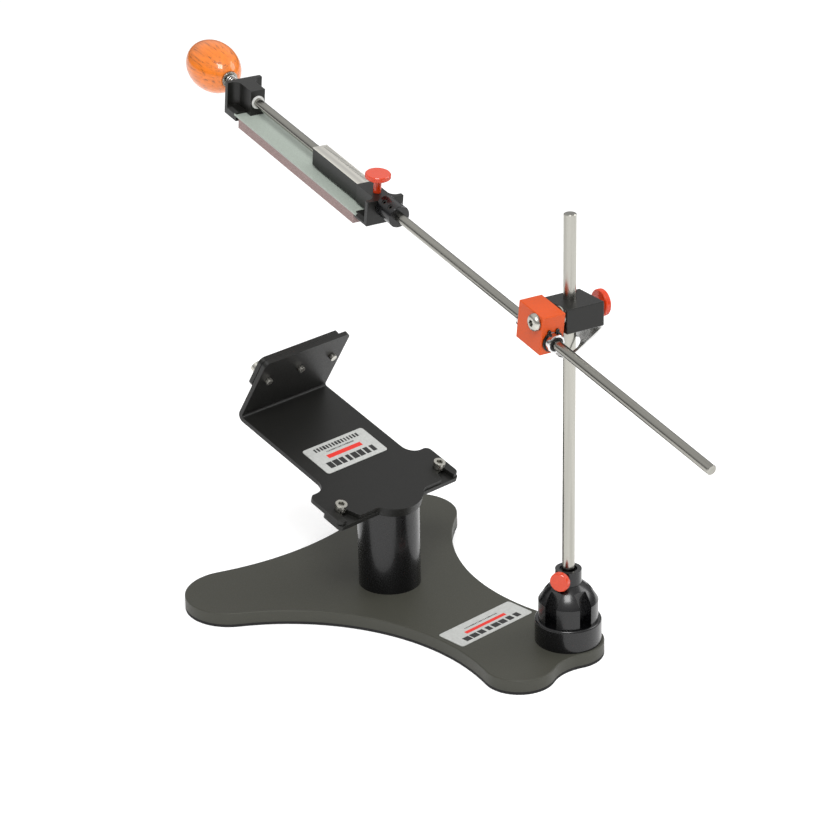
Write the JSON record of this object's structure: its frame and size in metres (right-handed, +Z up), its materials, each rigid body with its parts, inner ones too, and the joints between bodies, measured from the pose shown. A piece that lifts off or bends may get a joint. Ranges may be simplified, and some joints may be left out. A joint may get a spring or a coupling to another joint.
{
  "type": "honing guide",
  "caption": "Rod-guided honing guide: waisted base, column with a sloping scissor bracket and blade clamp, and a post whose swivel carries a sliding rod with a stone holder.",
  "frame": {"origin": "on the column's axis, at the surface the foot sheet stands on", "axes": "+Z up, +Y from the column towards the bracket's jaw, post at -Y and +X"},
  "size_m": [0.288, 0.7532, 0.3873],
  "materials": {
    "foot_rubber": "matt black",
    "base_coat": "fine textured powder coat",
    "label_silver": "printed silver",
    "gloss_black": "gloss black",
    "bracket_black": "satin black",
    "screw_black": "black oxide",
    "screw_steel": "satin steel",
    "polished_steel": "polished",
    "clip_steel": "bright spring steel",
    "anodised_black": "satin black anodised",
    "orange_anodised": "satin orange-red anodised",
    "thumb_red": "gloss orange-red",
    "seal_black": "matt",
    "circlip_dark": "dark spring steel",
    "gauge_steel": "satin with engraved marks",
    "blank_alu": "satin",
    "stone_brown": "fine grit",
    "bush_white": "smooth",
    "knob_wood": "lacquered orange"
  },
  "bodies": {
    "stand": {"foot_sheet": "foot_rubber", "base_plate": "base_coat", "base_label": "label_silver", "column": "gloss_black", "column_screws": "screw_black", "column_flange": "bracket_black", "flange_screws": "screw_black", "bracket": "bracket_black", "bracket_label": "label_silver", "bracket_screws": "screw_steel", "post_cup": "gloss_black", "cup_screws": "screw_black"},
    "post": {"post": "polished_steel"},
    "cup_thumbscrew": {"cup_thumbscrew": "thumb_red"},
    "swivel": {"swivel_block": "anodised_black", "tilt_bolt": "screw_steel", "thrust_washer": "screw_steel", "spring_clip": "clip_steel"},
    "swivel_thumbscrew": {"swivel_thumbscrew": "thumb_red"},
    "housing": {"rod_housing": "orange_anodised"},
    "bearing": {"bearing_sleeve": "polished_steel", "bearing_cage": "seal_black", "bearing_seals": "seal_black", "circlips": "circlip_dark"},
    "guide_rod": {"guide_rod": "polished_steel", "stop_collar": "gloss_black", "collar_set_screws": "screw_steel", "near_jaw": "anodised_black", "gauge_plate": "gauge_steel", "stone_blank": "blank_alu", "whetstone": "stone_brown", "jaw_spring": "clip_steel", "knob": "knob_wood", "knob_ferrule": "screw_steel"},
    "holder_thumbscrew": {"holder_thumbscrew": "thumb_red"},
    "far_jaw": {"far_jaw": "anodised_black", "far_jaw_bush": "bush_white"},
    "clamp_bar": {"clamp_bar": "bracket_black"},
    "clamp_screw_left": {"clamp_screw_left": "screw_steel"},
    "clamp_screw_middle": {"clamp_screw_middle": "screw_steel"},
    "clamp_screw_right": {"clamp_screw_right": "screw_steel"}
  },
  "joints": [
    {"name": "swivel_turn", "type": "hinge", "parent": "stand", "child": "post", "pos_m": [0.0284, -0.1761, 0.07], "axis": [0, 0, 1], "continuous": true},
    {"name": "height_slide", "type": "slide", "parent": "post", "child": "swivel", "axis": [0, 0, 1], "range_m": [-0.1, 0.06]},
    {"name": "tilt_turn", "type": "hinge", "parent": "swivel", "child": "housing", "pos_m": [0.01, -0.18335, 0.2965], "axis": [-0.9744, 0.225, 0], "range_deg": [-20, 20]},
    {"name": "bearing_turn", "type": "hinge", "parent": "housing", "child": "bearing", "pos_m": [0.00108, -0.16979, 0.28402], "axis": [-0.2223, -0.963, -0.1521], "continuous": true},
    {"name": "rod_slide", "type": "slide", "parent": "bearing", "child": "guide_rod", "axis": [-0.2223, -0.963, -0.1521], "range_m": [-0.15, 0.18]},
    {"name": "far_jaw_slide", "type": "slide", "parent": "guide_rod", "child": "far_jaw", "axis": [0.2223, 0.963, 0.1521], "range_m": [0, 0.008], "stiffness_N_per_m": 2000, "springref_m": -0.005, "deforming": ["jaw_spring"]},
    {"name": "cup_thumbscrew_turn", "type": "hinge", "parent": "stand", "child": "cup_thumbscrew", "pos_m": [0.01413, -0.18074, 0.0701], "axis": [-0.9511, -0.309, 0], "continuous": true},
    {"name": "swivel_thumbscrew_turn", "type": "hinge", "parent": "swivel", "child": "swivel_thumbscrew", "pos_m": [0.05276, -0.18172, 0.29405], "axis": [0.9744, -0.225, 0], "continuous": true},
    {"name": "holder_thumbscrew_turn", "type": "hinge", "parent": "guide_rod", "child": "holder_thumbscrew", "pos_m": [0.05409, 0.05982, 0.34052], "axis": [-0.0342, -0.1482, 0.9884], "continuous": true},
    {"name": "clamp_bar_slide", "type": "slide", "parent": "stand", "child": "clamp_bar", "axis": [0, 0.8508, 0.5255], "range_m": [-0.0025, 0.006]},
    {"name": "clamp_screw_left_turn", "type": "hinge", "parent": "clamp_bar", "child": "clamp_screw_left", "pos_m": [-0.036, 0.11291, 0.1817], "axis": [0, 0.8508, 0.5255], "range_deg": [-1080, 2520]},
    {"name": "clamp_screw_middle_turn", "type": "hinge", "parent": "clamp_bar", "child": "clamp_screw_middle", "pos_m": [0, 0.11291, 0.1817], "axis": [0, 0.8508, 0.5255], "range_deg": [-1080, 2520]},
    {"name": "clamp_screw_right_turn", "type": "hinge", "parent": "clamp_bar", "child": "clamp_screw_right", "pos_m": [0.036, 0.11291, 0.1817], "axis": [0, 0.8508, 0.5255], "range_deg": [-1080, 2520]}
  ],
  "couplings": [
    {"joint": "clamp_screw_left_turn", "follows": "clamp_bar_slide", "rad_per_m": 6283.2},
    {"joint": "clamp_screw_middle_turn", "follows": "clamp_bar_slide", "rad_per_m": 6283.2},
    {"joint": "clamp_screw_right_turn", "follows": "clamp_bar_slide", "rad_per_m": 6283.2}
  ]
}
